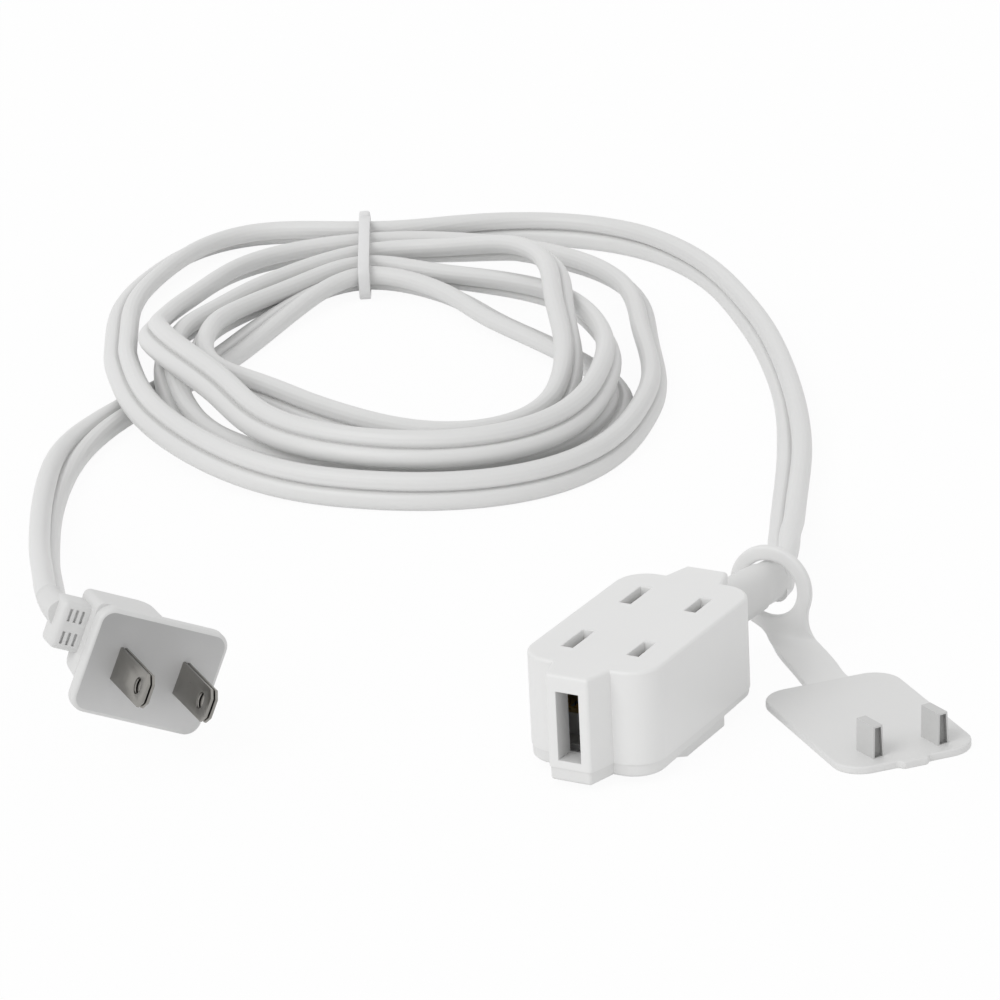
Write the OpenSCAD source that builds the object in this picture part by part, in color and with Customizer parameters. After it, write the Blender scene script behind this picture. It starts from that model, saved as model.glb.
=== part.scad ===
// Two-core extension cord with a three-way outlet block, a folded-blade plug,
// a tethered safety cover and its wound cord. Millimetres, +Z up, the block's
// long axis along Y, the floor at Z = 0 under the middle of the block.

/* [Outlet block] */
// Length of the block's body between its end walls
block_length = 44; // [40:1:52]
// Width of the block across both rows of slots
block_width = 26.4; // [25:0.2:32]
// Height of the casing above its foot
casing_height = 20.3; // [20:0.1:21.5]
// Height of the foot that carries the lower outlet
foot_height = 1.5; // [1:0.1:2.5]
// Radius of the block's upright corners
corner_radius = 6; // [4:0.5:8]
// Radius that rounds the casing's top edge
edge_radius = 1; // [0.5:0.1:1.5]
// Thickness of the casing's walls
wall = 2; // [1.6:0.1:2.4]
// How far each nose reaches past the end wall
nose_length = 5.6; // [4:0.2:8]
// Width of a nose where it leaves the end wall
nose_root_width = 11.6; // [11.6:0.2:14]
// Width of a nose at its tip
nose_tip_width = 8.4; // [8.4:0.2:9.6]
// Width of the open cord entry in the front nose
port_width = 4.4; // [3.6:0.1:5]
// Height of the open cord entry
port_height = 13; // [10:0.5:13.5]

/* [Outlets] */
// Distance between the two slots of one outlet
blade_spacing = 12.7; // [12.7:0.1:13]
// Distance between the two upper outlets
outlet_spacing = 22.2; // [21:0.1:23]
// Length of the longer slot
long_slot = 8.2; // [7.8:0.1:8.6]
// Length of the shorter slot
short_slot = 6.6; // [6.6:0.1:7]
// Width of every slot
slot_width = 2.2; // [1.9:0.1:2.4]

/* [Contacts] */
// Thickness of the brass strip
strip_thick = 0.8; // [0.6:0.1:1]
// Width of the brass strip
strip_width = 6; // [5.6:0.1:6.4]
// Height of each spring leaf
leaf_height = 6; // [5:0.5:6]
// Diameter of a bare copper core
core_diameter = 1.3; // [1:0.1:1.6]

/* [Cord] */
// Width of the flat cord across both cores
cord_width = 8; // [7.6:0.1:8.4]
// Thickness of the flat cord
cord_thick = 4; // [3.8:0.1:4.2]
// Thickness of the white band round the coil
tie_thick = 0.8; // [0.6:0.1:1]
// Width of the band round the coil
tie_width = 2.6; // [2:0.1:4]

/* [Plug] */
// Length of the plug's flange along the row of blades
flange_length = 25; // [23:0.5:28]
// Height of the plug's flange
flange_height = 19.6; // [18:0.2:21]
// Thickness of the plug's flange
flange_thick = 3; // [2.5:0.1:4]
// Depth of the plug's body behind the flange
plug_depth = 9; // [9:0.1:11]
// Length of a blade from the plug's face
blade_length = 15.9; // [14:0.1:18]
// Width of a blade
blade_width = 6.35; // [6:0.05:6.6]
// Thickness of a folded blade
blade_thick = 1.5; // [1.3:0.1:1.6]
// Diameter of the hole near a blade's tip
blade_hole = 3; // [2.5:0.1:3.4]

/* [Safety cover] */
// Length of the cover's plate
plate_length = 39; // [36:0.5:40]
// Width of the cover's plate
plate_width = 27; // [25:0.5:28]
// Thickness of the cover's plate and strap
plate_thick = 1.5; // [1.2:0.1:2]
// Bore of the strap's ring
ring_bore = 11; // [11:0.1:11.6]
// Width of the ring's rim
ring_rim = 2.7; // [2.2:0.1:3]
// Height of the cover's two prongs
prong_height = 5.9; // [5:0.1:7]

/* [Hidden] */
$fn = 48;

white = [0.93, 0.93, 0.92];
cord_white = [0.9, 0.9, 0.89];
inner_grey = [0.75, 0.76, 0.76];
brass = [0.82, 0.68, 0.36];
copper = [0.80, 0.46, 0.30];
nickel = [0.55, 0.54, 0.52];
clear = 0.15;

// Heights and widths of the block that follow from the sizes above
casing_top = foot_height + casing_height;
rim_height = 2.5;
casing_bottom = foot_height + rim_height;
lid_bottom = casing_top - wall;
half_length = block_length / 2;
nose_tip = half_length + nose_length;
slot_x = blade_spacing / 2;
outlet_y = outlet_spacing / 2;
cord_height = casing_bottom + 8;
relief_wide = cord_thick + 2.4;
relief_tall = cord_width + 2;

// The contacts' strips lie on the carrier's ribs, half way up the casing
carrier_floor = 1.2;
strip_rise = 5.5;
strip_bottom = casing_bottom + strip_rise;
lower_leaf = strip_rise - carrier_floor - 0.3;
strip_top = strip_bottom + strip_thick;
leaf_gap = blade_thick + 0.1;
leaf_length = 5.4;
leaf_thick = 0.5;
strip_back = outlet_y + long_slot / 2 + 0.8;
strip_front = -strip_back;
crimp_bore = core_diameter + 0.1;
crimp_length = 3;
crimp_radius = crimp_bore / 2 + 0.5;
crimp_front = strip_back - crimp_length - 0.2;
core_channel = 2 * crimp_radius + 0.8;
core_rise = (cord_width - cord_thick) / 2;
head_face = half_length - 0.6;

// The sleeve leans a little to one side on its way back
relief_reach = 22.4;
relief_end = [3.6, nose_tip + relief_reach, cord_height];
relief_turn = -5;
relief_middle = [1.6, nose_tip + relief_reach / 2, cord_height];
ring_place = [3.2, nose_tip + relief_reach - 4.2, cord_height];
ring_thick = 1.8;

// The tie's place and the middle of the coil on the floor, with the bearing
// of the tie seen from that middle
coil_centre = [-138, 135];
tie_bearing = 120;

// Each loop starts at the tie and passes these turns, in degrees
stations = [0, 15, 32, 55, 85, 125, 170, 210, 250, 290, 325, 348];
// How far each loop reaches from the middle at those turns
loop_reach = [
    [105, 116, 95, 67, 53, 52, 61, 74, 66, 67, 91, 99.5],
    [96.5, 95, 73, 55, 45, 42, 53, 61, 54, 54, 66, 76],
    [81.5, 69, 55, 42, 35, 35, 41, 40, 45, 46, 67, 88],
    [89, 78, 64, 50, 42, 42.5, 51, 60, 58, 47, 50, 68]];
last_reach = 74;
// How high each loop is lifted over the cords below it
tie_lift = tie_thick + 0.4;
loop_lift = [
    [tie_lift, 0, 0, 0, 5, 4.5, 0, 0, 0, 0, 0, 0],
    [tie_lift, 0, 2, 6, 12, 9, 7.5, 7.5, 7.5, 5.5, 2, 0],
    [tie_lift, 0, 2, 5, 4.5, 0, 0, 0, 6, 11.5, 11, 2],
    [tie_lift, 0, 0, 3.5, 5, 0, 0, 0, 0, 0, 0, 0]];
// How far the flat cord leans inwards from standing on its edge, in degrees
loop_lean = [
    [50, 55, 65, 65, 55, 40, 15, 10, 15, 30, 45, 50],
    [50, 50, 50, 45, 40, 40, 35, 25, 20, 20, 40, 50],
    [50, 45, 40, 30, 30, 20, 20, 20, 30, 40, 50, 50],
    [50, 45, 40, 35, 40, 45, 55, 55, 55, 60, 60, 50]];
loops = len(loop_reach);

// One long row of turns, and the three rows of values that go with it
coil_turns = concat([for (k = [0 : loops - 1], s = stations) s + 360 * k], [360 * loops]);
coil_reach = concat([for (row = loop_reach) each row], [last_reach]);
coil_lift = concat([for (row = loop_lift) each row], [tie_lift]);
coil_lean = concat([for (row = loop_lean) each row], [loop_lean[0][0]]);

// Slope of a row of values at one knot, level at both ends so that the cord
// passes the tie square
function slope(x, y, i) =
    i == 0 || i == len(x) - 1 ? 0 : (y[i + 1] - y[i - 1]) / (x[i + 1] - x[i - 1]);
// Smooth curve through a row of values, at x = t inside interval i
function smooth(x, y, i, t) =
    let (h = x[i + 1] - x[i], u = (t - x[i]) / h, v = 1 - u)
    (1 + 2 * u) * v * v * y[i] + u * v * v * h * slope(x, y, i)
    + u * u * (3 - 2 * u) * y[i + 1] - u * u * v * h * slope(x, y, i + 1);

// A route's rows are [x, y, z, lean]. A flat cord that leans rests lower.
function rest_height(lean) = (cord_thick + (cord_width - cord_thick) * abs(cos(lean))) / 2;
function coil_row(i, t) =
    let (reach = smooth(coil_turns, coil_reach, i, t),
         lift = max(0, smooth(coil_turns, coil_lift, i, t)),
         u = (t - coil_turns[i]) / (coil_turns[i + 1] - coil_turns[i]),
         lean = coil_lean[i] * (1 - u) + coil_lean[i + 1] * u)
    [coil_centre.x + reach * cos(tie_bearing + t),
     coil_centre.y + reach * sin(tie_bearing + t),
     rest_height(lean) + lift, -lean];
// Two rings for each interval between stations, so 24 for each loop
coil_rows = concat(
    [for (i = [0 : len(coil_turns) - 2], half = [0, 0.5])
        coil_row(i, coil_turns[i] * (1 - half) + coil_turns[i + 1] * half)],
    [coil_row(len(coil_turns) - 2, coil_turns[len(coil_turns) - 1])]);
coil_start = coil_rows[0];
coil_end = coil_rows[len(coil_rows) - 1];

entry_lean = -150;

// The cord's free stretches, as rows chosen along its way
outlet_rows = [
    [relief_end.x, relief_end.y, relief_end.z, 0],
    [3, 54, 12, 0], [0.6, 60, 11.7, 10], [-4.2, 68, 10.4, 30], [-9.3, 78, 8, 45],
    [-14, 89, 5.6, 52], [-18.8, 99, 4, 55], [-23.6, 110, 3.2, 56], [-34.7, 135, 3.1, 58],
    [-49.8, 163, 3.7, 30], [-69.5, 192.5, 3.9, 22], [-85.5, 212, 4, 12],
    [-100, 227.5, 4, 2], [-113.5, 238, 4, 0], [-128, 245, 4, 8], [-143, 246.8, 3.9, 18],
    [-157, 244, 3.9, 12], [-170, 237.8, 3.9, -10], [-181, 231.6, 3.7, -35]];
plug_rows = [
    [-179, 193.5, 3.8, -55], [-181, 185, 3.1, -65], [-181, 175, 2.5, -75],
    [-180, 159, 2.1, -90], [-178, 144, 2.1, -90], [-178, 130, 2.1, -90], [-180, 116, 2.1, -90],
    [-181, 103, 2.1, -90], [-180, 93, 2.3, -95], [-178, 83, 2.9, -110],
    [-175, 73, 3.5, -125], [-169, 63, 3.9, -140], [-163, 51, 4.3, -150],
    [-156, 39, 5.2, -152], [-146, 25, 7.2, -152], [-135, 8, 10.5, -152],
    [-121.5, -9.5, 15.5, -152], [-109, -27, 20.5, entry_lean]];

// The plug lies on one corner of its flange, turned towards the block
plug_place = [-79.7, -38.9, 14.4];
plug_heading = -38;
plug_roll = -24.5;
plug_body_end = 1.5;
plug_body_low = -6;
bridge_front = -0.8;
bridge_plate = 1.8;
bridge_depth = 7;
bridge_half = blade_spacing / 2 + 3;
blade_root = -bridge_depth + 1;
tail_thick = 0.8;
tail_back = bridge_front - bridge_plate + 0.3;
plug_top = flange_height / 2;
plug_back = -flange_thick - plug_depth;
entry_height = 2;
entry_x = plug_back + 4.5;
entry_corner = [plug_back + 1.4, -flange_length / 2 - 3.6, entry_height + 2];

// The plug's own axes seen from the block's frame
function from_plug(p) =
    let (y = p.y * cos(plug_roll) - p.z * sin(plug_roll),
         z = p.y * sin(plug_roll) + p.z * cos(plug_roll))
    [plug_place.x + p.x * cos(plug_heading) - y * sin(plug_heading),
     plug_place.y + p.x * sin(plug_heading) + y * cos(plug_heading),
     plug_place.z + z];
plug_entry = from_plug(entry_corner);
before_entry = from_plug(entry_corner - [6, 0, 0]);

// The cover's plate lies on the floor beside the block
plate_place = [36.2, 18.3];
plate_turn = -40;
plate_corner = 5.5;
hinge_gap = 0.3;
strap_width = 9;
strap_foot = 6;
strap_rise = 20;
ring_foot = 7;

// Direction of a vector, and the frame of a ring on a route
function unit(v) = v / norm(v);
function at(row) = [row.x, row.y, row.z];
function heading(rows, i) =
    let (n = len(rows) - 1,
         ahead = i < n ? unit(at(rows[i + 1]) - at(rows[i])) : undef,
         behind = i > 0 ? unit(at(rows[i]) - at(rows[i - 1])) : undef)
    i == 0 ? ahead : i == n ? behind : unit(ahead + behind);
// Long axis of the flat section at a ring, and the axis across it
function long_axis(rows, i) =
    let (t = heading(rows, i), side = unit(cross(t, [0, 0, 1])), up = cross(side, t))
    up * cos(rows[i][3]) + side * sin(rows[i][3]);
function ring(rows, i, half) =
    let (t = heading(rows, i), tall = long_axis(rows, i), wide = cross(t, tall),
         shift = (cord_width - cord_thick) / 2)
    [for (s = [1, -1], k = [0 : half - 1])
        let (a = 180 * k / (half - 1), r = cord_thick / 2)
        at(rows[i]) + wide * s * r * cos(a) + tall * s * (shift + r * sin(a))];
// Ends of the rows run straight on from what they meet
function back_from(row, next, d) = at(row) - unit(at(next) - at(row)) * d;
function on_from(row, last, d) = at(row) + unit(at(row) - at(last)) * d;

// A smooth curve through a run's rows, with one more ring in each interval
function mid_row(rows, i) =
    let (n = len(rows) - 1, a = rows[max(i - 1, 0)], d = rows[min(i + 2, n)])
    (rows[i] + rows[i + 1]) * 0.5625 - (a + d) * 0.0625;
function filled(rows) = [for (i = [0 : len(rows) - 1])
    each i < len(rows) - 1 ? [rows[i], mid_row(rows, i)] : [rows[i]]];

// A flat cord swept along rows, with 2 * half sides
module flat_cord(rows, half) {
    sides = 2 * half;
    last = len(rows) - 1;
    points = [for (i = [0 : last]) each ring(rows, i, half)];
    skin = [for (i = [0 : last - 1], k = [0 : sides - 1])
        let (a = i * sides + k, b = i * sides + (k + 1) % sides)
        each [[a, a + sides, b], [b, a + sides, b + sides]]];
    caps = [for (k = [1 : sides - 2])
        each [[0, k, k + 1], [last * sides, last * sides + k + 1, last * sides + k]]];
    polyhedron(points, concat(skin, caps));
}

// Least gap between passes of the coil, from points along both cores
core_points = 4;
function core_line(rows, s) = [for (i = [0 : len(rows) - 1])
    at(rows[i]) + s * long_axis(rows, i) * (cord_width - cord_thick) / 2];
function between(line, i, u) = line[i] * (1 - u) + line[i + 1] * u;
function least_gap(rows) =
    let (lines = [core_line(rows, 1), core_line(rows, -1)], last = len(rows) - 2)
    min([for (i = [0 : last - 3], j = [i + 3 : last])
        if (norm(at(rows[i]) - at(rows[j])) < 40)
            min([for (a = lines, b = lines, u = [0 : core_points - 1], v = [0 : core_points - 1])
                norm(between(a, i, u / core_points) - between(b, j, v / core_points))])])
    - cord_thick;

// Rounded rectangle built from true arcs
module rounded(size, radius) {
    for (s = [-1, 1]) {
        square([size.x - (s + 1) * radius, size.y + (s - 1) * radius], center = true);
        for (t = [-1, 1]) {
            translate([s * (size.x / 2 - radius), t * (size.y / 2 - radius)])
                circle(radius);
        }
    }
}

// The block's outline seen from above, drawn in by the inset
module block_outline(inset) {
    root = nose_root_width / 2 - inset;
    tip = nose_tip_width / 2 - inset;
    rounded([block_width - 2 * inset, block_length - 2 * inset], corner_radius - inset);
    for (s = [-1, 1]) {
        polygon([[-root, 0], [root, 0], [root, s * (half_length - inset)],
                 [tip, s * (nose_tip - inset)], [-tip, s * (nose_tip - inset)],
                 [-root, s * (half_length - inset)]]);
    }
}

module slots(y) {
    translate([-slot_x, y]) square([slot_width, long_slot], center = true);
    translate([slot_x, y]) square([slot_width, short_slot], center = true);
}

// Flat section of the cord's sleeve, standing on edge
module sleeve_section(wide, tall) {
    square([wide, tall - wide], center = true);
    for (s = [-1, 1]) {
        translate([0, s * (tall - wide) / 2]) circle(wide / 2);
    }
}

// A slice of the sleeve, standing across its way
module sleeve_slice(place, turn, wide, tall) {
    translate(place) rotate([0, 0, turn]) rotate([90, 0, 0])
        linear_extrude(0.1, center = true) sleeve_section(wide, tall, $fn = 32);
}

// A straight round rod between two points
module rod(a, b, d) {
    v = b - a;
    translate(a) rotate([0, acos(v.z / norm(v)), atan2(v.y, v.x)])
        cylinder(h = norm(v), d = d, $fn = 24);
}

module outlet_shell() {
    color(white) difference() {
        union() {
            translate([0, 0, casing_bottom])
                linear_extrude(casing_height - rim_height - edge_radius) block_outline(0);
            hull() {
                translate([0, 0, casing_top - edge_radius - 0.01])
                    linear_extrude(0.01) rounded([block_width, block_length], corner_radius, $fn = 32);
                translate([0, 0, casing_top - 0.3 * edge_radius])
                    linear_extrude(0.01) rounded([block_width - 0.6 * edge_radius,
                        block_length - 0.6 * edge_radius], corner_radius - 0.3 * edge_radius, $fn = 32);
                translate([0, 0, casing_top - 0.01])
                    linear_extrude(0.01) rounded([block_width - 2 * edge_radius,
                        block_length - 2 * edge_radius], corner_radius - edge_radius, $fn = 32);
            }
            translate([0, 0, casing_top - edge_radius - 0.01])
                linear_extrude(edge_radius + 0.01 - 0.3) block_outline(0.3 * edge_radius);
        }
        translate([0, 0, casing_bottom - 1])
            linear_extrude(lid_bottom - casing_bottom + 1) block_outline(wall);
        translate([0, 0, lid_bottom - 1]) linear_extrude(wall + 2) {
            slots(outlet_y);
            slots(-outlet_y);
        }
        translate([0, -nose_tip, cord_height])
            cube([port_width, 3 * wall, port_height], center = true);
        translate([0, head_face - 0.3, cord_height]) rotate([-90, 0, 0])
            linear_extrude(nose_tip - head_face + 1)
                sleeve_section(relief_wide + 2 * clear, relief_tall + 2 * clear);
    }
}

module outlet_base() {
    foot_toe = -0.147 * block_length;
    foot_front = foot_toe - 2.9 * (foot_height + 0.1);
    foot_back = 0.16 * block_length;
    color(white) difference() {
        union() {
            translate([0, 0, foot_height]) linear_extrude(rim_height) block_outline(0.2);
            translate([-block_width / 2 + 0.2, 0, 0]) rotate([90, 0, 90])
                linear_extrude(block_width - 0.4)
                    polygon([[foot_front, foot_height + 0.1], [foot_toe, 0],
                             [foot_back, 0], [foot_back, foot_height + 0.1]]);
        }
        translate([0, 0, -1]) linear_extrude(casing_bottom + 2) slots(0);
    }
}

// The carrier's floor has the lower outlet's slots. Its ribs hold the strips, and
// the rear one leaves a channel for the crimps and cores.
module contact_carrier() {
    room = wall + 0.3;
    color(inner_grey) translate([0, 0, casing_bottom]) difference() {
        union() {
            linear_extrude(carrier_floor)
                rounded([block_width - 2 * room, block_length - 2 * room], corner_radius - room);
            for (y = [strip_front + 0.8, -leaf_length, leaf_length, strip_back - 0.8]) {
                translate([-block_width / 2 + room + 0.5, y - 0.5, 0])
                    cube([block_width - 2 * room - 1, 1, strip_rise]);
            }
        }
        translate([0, 0, -1]) linear_extrude(carrier_floor + 2) slots(0);
        translate([-core_channel / 2, leaf_length + 1, carrier_floor])
            cube([core_channel, strip_back, strip_rise]);
    }
}

// Two spring leaves on either side of a blade's way
module leaf_pair(height) {
    for (s = [-1, 1]) {
        translate([s * (leaf_gap + leaf_thick) / 2, 0, height / 2])
            cube([leaf_thick, leaf_length, height], center = true);
    }
}

// A brass strip with a pair of leaves at each outlet, a hole for each blade and
// a tab that stands up beside its crimp in the middle
module contact(x, slot_length, crimp_z) {
    inner = slot_x - crimp_radius - 0.05;
    color(brass) translate([x, 0, 0]) difference() {
        union() {
            translate([-strip_width / 2, strip_front, strip_bottom])
                cube([strip_width, strip_back - strip_front, strip_thick]);
            for (y = [-outlet_y, outlet_y]) {
                translate([0, y, strip_top - 0.05]) leaf_pair(leaf_height);
            }
            translate([0, 0, strip_bottom + 0.05]) rotate([180, 0, 0]) leaf_pair(lower_leaf);
            mirror([x < 0 ? 0 : 1, 0, 0]) {
                translate([0, crimp_front - 0.2, strip_bottom])
                    cube([inner, crimp_length + 0.4, strip_thick]);
                translate([inner - strip_thick, crimp_front - 0.2, strip_bottom])
                    cube([strip_thick, crimp_length + 0.4, crimp_z + 0.5 - strip_bottom]);
            }
        }
        for (y = [-outlet_y, 0, outlet_y]) {
            translate([-leaf_gap / 2, y - slot_length / 2, strip_bottom - 1])
                cube([leaf_gap, slot_length, strip_thick + 2]);
        }
    }
}

module crimp(z) {
    color(brass) translate([0, crimp_front, z]) rotate([-90, 0, 0])
        difference() {
            cylinder(h = crimp_length, r = crimp_radius);
            translate([0, 0, -1]) cylinder(h = crimp_length + 2, d = crimp_bore);
        }
}

// A bare copper core from the crimp to the cord's cut end in the sleeve's head
module outlet_core(z) {
    color(copper) rod([0, crimp_front + 0.4, z], [0, head_face - 0.02, z], core_diameter);
}

// The sleeve passes the rear nose and tapers towards the cord
module outlet_strain_relief() {
    color(white) {
        translate([0, head_face, cord_height]) rotate([-90, 0, 0])
            linear_extrude(nose_tip + 0.4 - head_face) sleeve_section(relief_wide, relief_tall);
        hull() {
            sleeve_slice([0, nose_tip + 0.4, cord_height], 0, relief_wide, relief_tall);
            sleeve_slice(relief_middle, -9, relief_wide - 0.5, relief_tall);
        }
        hull() {
            sleeve_slice(relief_middle, -9, relief_wide - 0.5, relief_tall);
            sleeve_slice(relief_end, relief_turn, cord_thick + 1.2, cord_width + 1.2);
        }
    }
}

module cord_outlet_run() {
    last = coil_start;
    rows = concat(filled(outlet_rows),
        [concat(back_from(last, coil_rows[1], cord_width), [last[3]]), last]);
    color(cord_white) flat_cord(rows, 5);
}

module cord_coil() {
    echo(least_gap = least_gap(coil_rows));
    color(cord_white) flat_cord(coil_rows, 3);
}

module cord_plug_run() {
    before = coil_rows[len(coil_rows) - 2];
    rows = concat([coil_end, concat(on_from(coil_end, before, tie_width / 2), [coil_end[3]])],
        filled(concat(plug_rows, [concat(before_entry, [entry_lean])])),
        [concat(plug_entry, [entry_lean])]);
    color(cord_white) flat_cord(rows, 5);
}

// A band round the five passes, with its small head on top at the far side
module coil_tie() {
    inner = last_reach - cord_width / 2 - 0.2;
    outer = loop_reach[0][0] + cord_width / 2 + 0.2;
    top = tie_lift + 2 * rest_height(loop_lean[0][0]) + 0.6;
    low = tie_thick;
    color(white) translate([coil_centre.x, coil_centre.y, 0]) rotate([0, 0, tie_bearing])
        rotate([90, 0, 0]) linear_extrude(tie_width, center = true) {
            difference() {
                translate([(inner + outer) / 2, (top + tie_thick) / 2])
                    rounded([outer - inner + 2 * tie_thick, top + tie_thick], 3.2);
                translate([(inner + outer) / 2, (top + low) / 2])
                    rounded([outer - inner, top - low], 3.2 - tie_thick);
            }
            translate([outer - 5, top]) square([3, 3]);
        }
}

module plug_frame() {
    translate(plug_place) rotate([plug_roll, 0, plug_heading]) children();
}

// The plug's bridge is moulded first and holds the blades: a plate in the flange
// and a deeper block where the plug's body is
module bridge_block(grow) {
    for (box = [[bridge_front - bridge_plate, bridge_half], [-bridge_depth, 1]]) {
        translate([box[0] - grow, -bridge_half - grow, -4.2 - grow])
            cube([bridge_front - box[0] + 2 * grow, bridge_half + box[1] + 2 * grow,
                  8.4 + 2 * grow]);
    }
}

module plug_body() {
    half = flange_length / 2;
    color(white) plug_frame() {
        difference() {
            union() {
                translate([-flange_thick, 0, 0]) rotate([90, 0, 90])
                    linear_extrude(flange_thick) rounded([flange_length, flange_height], 3);
                hull() {
                    for (z = [plug_body_low + 1, plug_top - 2]) {
                        translate([-flange_thick - 0.1, -half + 1, z]) rotate([0, 90, 0])
                            cylinder(h = 0.1, r = 1, $fn = 24);
                    }
                    translate([-flange_thick - 0.1, plug_body_end + 2, plug_body_low])
                        cube([0.1, 1, plug_top - 1 - plug_body_low]);
                    for (z = [plug_body_low + 2, plug_top - 3]) {
                        translate([plug_back + 1, -half + 1.5, z]) sphere(1, $fn = 24);
                        translate([plug_back + 1, plug_body_end - 1, z]) sphere(1, $fn = 24);
                    }
                }
            }
            bridge_block(0.1);
            for (s = [-1, 1]) {
                translate([-1.5, s * blade_spacing / 2, 0])
                    cube([4, blade_thick + 0.1, blade_width + 0.1], center = true);
            }
        }
        plug_sleeve();
    }
}

// The cord's entry turns from the plug's end towards its back
module plug_sleeve() {
    half = flange_length / 2;
    hull() {
        translate([entry_x - 2.8, -half - 0.1, entry_height - 4.6]) cube([5.6, 0.8, 9.2]);
        translate([entry_x - 2.8, -half - 3.4, entry_height - 4.4]) cube([5.6, 0.5, 8.8]);
        translate(entry_corner + [0.05, 0, 0]) rotate([entry_lean + 180 - plug_roll, 0, 0])
            cube([0.1, cord_thick + 1, cord_width + 1], center = true);
    }
}

// The bridge's slots for the blades, the line blade's tail and its core
module plug_bridge() {
    reach = blade_spacing / 2 + blade_thick / 2;
    color(inner_grey) plug_frame() difference() {
        bridge_block(0);
        for (s = [-1, 1]) {
            translate([-bridge_depth / 2, s * blade_spacing / 2, 0])
                cube([bridge_depth + 4, blade_thick + 0.1, blade_width + 0.1], center = true);
        }
        translate([tail_back - 0.5, -1.1, -2.1])
            cube([tail_thick + 0.6, reach + 1.1, 4.2]);
        translate([-bridge_depth - 1, 0, 0]) rotate([0, 90, 0])
            cylinder(h = bridge_depth, d = core_diameter + 0.1, $fn = 24);
    }
}

// A folded blade with a round hole near its cut-off tip
module blade(y, root) {
    chamfer = 1.4;
    half = blade_width / 2;
    translate([0, y, 0]) rotate([90, 0, 0])
        linear_extrude(blade_thick, center = true) difference() {
            polygon([[root, -half], [blade_length - chamfer, -half],
                     [blade_length, -half + chamfer], [blade_length, half - chamfer],
                     [blade_length - chamfer, half], [root, half]]);
            translate([blade_length - 4, 0]) circle(d = blade_hole);
        }
}

// A bare core from a blade's root to the back of the bridge
module plug_core(y, root) {
    color(copper) plug_frame()
        rod([root - 0.05, y, 0], [-bridge_depth + 0.1, y, 0], core_diameter);
}

// Ring and arm of the cover, one flexible piece
module cover_strap() {
    outer = ring_bore / 2 + ring_rim;
    color(white) {
        difference() {
            translate(ring_place) rotate([90, 0, 0])
                cylinder(h = ring_thick, r = outer, center = true);
            translate(ring_place) rotate([90, 0, 0])
                cylinder(h = ring_thick + 1, d = ring_bore, center = true);
        }
        hull() {
            translate(ring_place + [-0.5, -ring_thick / 2, -outer + 0.2])
                cube([ring_foot, ring_thick, 1.6]);
            strap_slice(strap_rise, 1.4);
        }
        hull() {
            strap_slice(strap_rise, 1.4);
            strap_slice(strap_foot, 0);
        }
        hull() {
            strap_slice(strap_foot, 0);
            strap_slice(hinge_gap + 0.5, 0);
        }
    }
}

// A slice across the arm, a distance back from the plate's near edge
module strap_slice(back, lift) {
    translate([plate_place.x, plate_place.y, lift]) rotate([0, 0, plate_turn])
        translate([-plate_length / 2 - back, -strap_width / 2, 0])
            cube([0.5, strap_width, plate_thick]);
}

module cover_cap() {
    color(white) translate([plate_place.x, plate_place.y, 0]) rotate([0, 0, plate_turn]) {
        linear_extrude(plate_thick) {
            rounded([plate_length, plate_width], plate_corner);
            translate([-plate_length / 2 + 3, 0])
                square([6, strap_width], center = true);
            translate([plate_length / 2 - 3, 0]) square([8, 6], center = true);
        }
        for (s = [-1, 1]) {
            translate([plate_length / 2 - 7.6, s * blade_spacing / 2 - 1, plate_thick - 0.1])
                cube([4.8, 2, prong_height + 0.1]);
        }
    }
}

module contact_wide() contact(-slot_x, long_slot, cord_height + core_rise);
module contact_narrow() contact(slot_x, short_slot, cord_height - core_rise);
module crimp_wide() crimp(cord_height + core_rise);
module crimp_narrow() crimp(cord_height - core_rise);
module outlet_core_neutral() outlet_core(cord_height + core_rise);
module outlet_core_line() outlet_core(cord_height - core_rise);
module blade_neutral() color(nickel) plug_frame() blade(-blade_spacing / 2, blade_root);
// The line blade's tail brings it to its core, through the bridge
module blade_line() color(nickel) plug_frame() {
    blade(blade_spacing / 2, tail_back);
    translate([tail_back, -1, -2]) cube([tail_thick, blade_spacing / 2 + 1, 4]);
}
module plug_core_neutral() plug_core(-blade_spacing / 2, blade_root);
module plug_core_line() plug_core(0, tail_back);

outlet_shell();
outlet_base();
contact_carrier();
contact_wide();
contact_narrow();
crimp_wide();
crimp_narrow();
outlet_core_neutral();
outlet_core_line();
outlet_strain_relief();
cord_outlet_run();
cord_coil();
coil_tie();
cord_plug_run();
plug_body();
plug_bridge();
blade_neutral();
blade_line();
plug_core_neutral();
plug_core_line();
cover_strap();
cover_cap();
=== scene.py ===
import math

import bmesh
import bpy
from mathutils import Matrix, Vector


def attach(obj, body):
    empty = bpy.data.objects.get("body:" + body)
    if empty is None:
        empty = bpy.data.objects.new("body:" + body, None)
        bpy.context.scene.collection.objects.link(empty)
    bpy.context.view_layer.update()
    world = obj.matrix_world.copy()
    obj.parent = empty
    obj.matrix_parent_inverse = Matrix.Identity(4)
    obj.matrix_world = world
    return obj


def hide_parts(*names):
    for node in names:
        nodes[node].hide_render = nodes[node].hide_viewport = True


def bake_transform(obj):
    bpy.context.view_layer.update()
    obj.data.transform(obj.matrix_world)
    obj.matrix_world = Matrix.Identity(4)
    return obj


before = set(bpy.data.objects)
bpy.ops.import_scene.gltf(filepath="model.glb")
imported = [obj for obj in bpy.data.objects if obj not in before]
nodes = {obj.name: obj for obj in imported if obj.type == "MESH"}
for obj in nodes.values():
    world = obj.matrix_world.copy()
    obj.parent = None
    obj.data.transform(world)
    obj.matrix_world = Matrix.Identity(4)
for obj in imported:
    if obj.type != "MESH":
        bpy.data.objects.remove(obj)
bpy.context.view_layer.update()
scene = bpy.context.scene
scene.view_settings.view_transform = "Standard"
print("frame loaded")

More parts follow.
